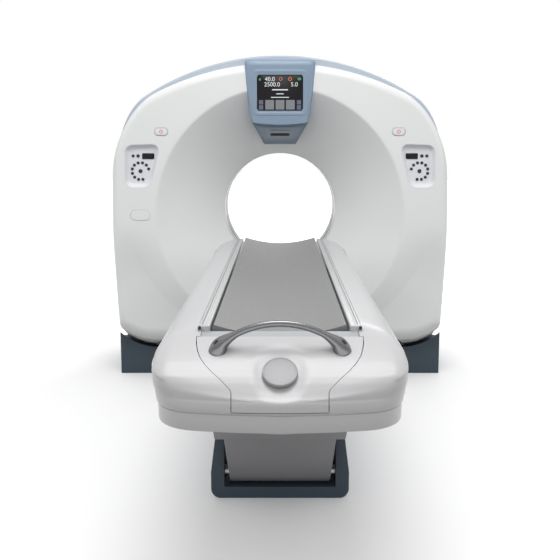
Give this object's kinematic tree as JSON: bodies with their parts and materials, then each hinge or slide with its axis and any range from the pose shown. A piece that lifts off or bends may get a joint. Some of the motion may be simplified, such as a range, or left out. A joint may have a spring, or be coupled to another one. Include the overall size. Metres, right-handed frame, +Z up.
{
  "type": "ct scanner",
  "caption": "Medical computed tomography scanner: a tilting ring gantry with a spinning tube and detector, and a lifting patient table with a sliding cradle.",
  "frame": {"origin": "centre of the whole scanner's footprint, on the floor", "axes": "+Z up, +Y from the table's foot end towards the gantry, along the bore axis"},
  "size_m": [2.0104, 3.73, 1.9388],
  "materials": {
    "navy_paint": "satin textured paint",
    "cover_white": "satin moulded plastic",
    "trim_blue": "satin moulded plastic",
    "bezel_blue": "satin moulded plastic",
    "chin_blue": "satin moulded plastic",
    "screen_glass": "glossy display window",
    "pod_plastic": "satin moulded plastic",
    "key_navy": "sealed membrane keys",
    "button_white": "satin moulded plastic",
    "black_plastic": "moulded plastic",
    "liner_plastic": "satin moulded plastic",
    "window_film": "dark translucent film",
    "frame_paint": "powder coat",
    "bearing_steel": "ground steel",
    "motor_iron": "painted iron",
    "ring_brass": "turned brass",
    "unit_aluminium": "machined aluminium",
    "leg_grey": "grey powder coat",
    "handle_metal": "dark polished metallic paint",
    "badge_metal": "blank satin disc",
    "strip_grey": "satin anodised strip",
    "recess_blue": "satin plastic",
    "cradle_grey": "woven carbon laminate with satin grey finish"
  },
  "bodies": {
    "base": {"gantry_base": "navy_paint", "stand_left": "frame_paint", "stand_right": "frame_paint", "trunnion_bushes": "bearing_steel", "table_base": "navy_paint", "cable_duct": "black_plastic", "front_lift_shaft": "bearing_steel", "rear_lift_shaft": "bearing_steel", "lift_gearmotor": "motor_iron"},
    "gantry": {"front_cover": "cover_white", "rear_cover": "cover_white", "access_plate": "cover_white", "roof_trim": "trim_blue", "display_screen": "screen_glass", "display_bezel": "bezel_blue", "bezel_chin": "chin_blue", "pod_trays": "pod_plastic", "pod_keys": "key_navy", "pod_displays": "screen_glass", "stop_switches": "black_plastic", "front_liner": "liner_plastic", "scan_window": "window_film", "rear_liner": "liner_plastic", "tilt_frame": "frame_paint", "main_bearing_race": "bearing_steel", "drive_stator": "motor_iron", "brush_block": "black_plastic"},
    "rotor": {"rotor_drum": "frame_paint", "rotor_race": "bearing_steel", "drive_magnet_ring": "motor_iron", "slip_ring": "ring_brass", "xray_tube": "unit_aluminium", "tube_collimator": "unit_aluminium", "detector_arc": "unit_aluminium", "data_unit": "unit_aluminium", "counterweight": "motor_iron", "tube_cooler": "unit_aluminium", "voltage_generator": "unit_aluminium", "power_inverter": "unit_aluminium"},
    "stop_left": {"stop_button_left": "button_white"},
    "stop_right": {"stop_button_right": "button_white"},
    "front_leg": {"front_leg": "leg_grey", "leg_sleeve": "leg_grey"},
    "rear_legs": {"rear_arm_left": "leg_grey", "rear_arm_right": "leg_grey"},
    "table": {"table_frame": "frame_paint", "top_lift_shaft": "bearing_steel", "slide_rails": "bearing_steel", "cradle_drive": "motor_iron", "table_cover": "cover_white", "handle_feet": "handle_metal", "foot_shield": "cover_white", "foot_badge": "badge_metal", "grab_handle": "handle_metal", "side_strips": "strip_grey", "end_recess": "recess_blue"},
    "support": {"support_slide": "unit_aluminium", "support_rollers": "bearing_steel"},
    "cradle": {"cradle": "cradle_grey", "cradle_carriage": "unit_aluminium"}
  },
  "joints": [
    {"name": "gantry_tilt", "type": "hinge", "parent": "base", "child": "gantry", "pos_m": [0, 1.36, 1.02], "axis": [1, 0, 0], "range_deg": [-30, 30]},
    {"name": "rotor_spin", "type": "hinge", "parent": "gantry", "child": "rotor", "pos_m": [0, 1.36, 1.02], "axis": [0, 1, 0], "continuous": true},
    {"name": "stop_left_press", "type": "slide", "parent": "gantry", "child": "stop_left", "axis": [0, 1, 0], "range_m": [0, 0.004], "stiffness_N_per_m": 800, "springref_m": -0.002},
    {"name": "stop_right_press", "type": "slide", "parent": "gantry", "child": "stop_right", "axis": [0, 1, 0], "range_m": [0, 0.004], "stiffness_N_per_m": 800, "springref_m": -0.002},
    {"name": "table_lift", "type": "hinge", "parent": "base", "child": "front_leg", "pos_m": [0, -0.83, 0.095], "axis": [-1, 0, 0], "range_deg": [-35.5, 12.1]},
    {"name": "rear_leg_swing", "type": "hinge", "parent": "base", "child": "rear_legs", "pos_m": [0, -0.41, 0.155], "axis": [-1, 0, 0], "range_deg": [-35.6, 12.2]},
    {"name": "table_level", "type": "hinge", "parent": "front_leg", "child": "table", "pos_m": [0, -1.42916, 0.6251], "axis": [1, 0, 0], "range_deg": [-35.6, 12.2]},
    {"name": "cradle_slide", "type": "slide", "parent": "table", "child": "cradle", "axis": [0, 1, 0], "range_m": [0, 1.7]},
    {"name": "support_slide_out", "type": "slide", "parent": "table", "child": "support", "axis": [0, 1, 0], "range_m": [0, 0.766]}
  ],
  "couplings": [
    {"joint": "rear_leg_swing", "follows": "table_lift", "ratio": 1},
    {"joint": "table_level", "follows": "table_lift", "ratio": 1},
    {"joint": "support_slide_out", "follows": "cradle_slide", "ratio": 0.45}
  ]
}
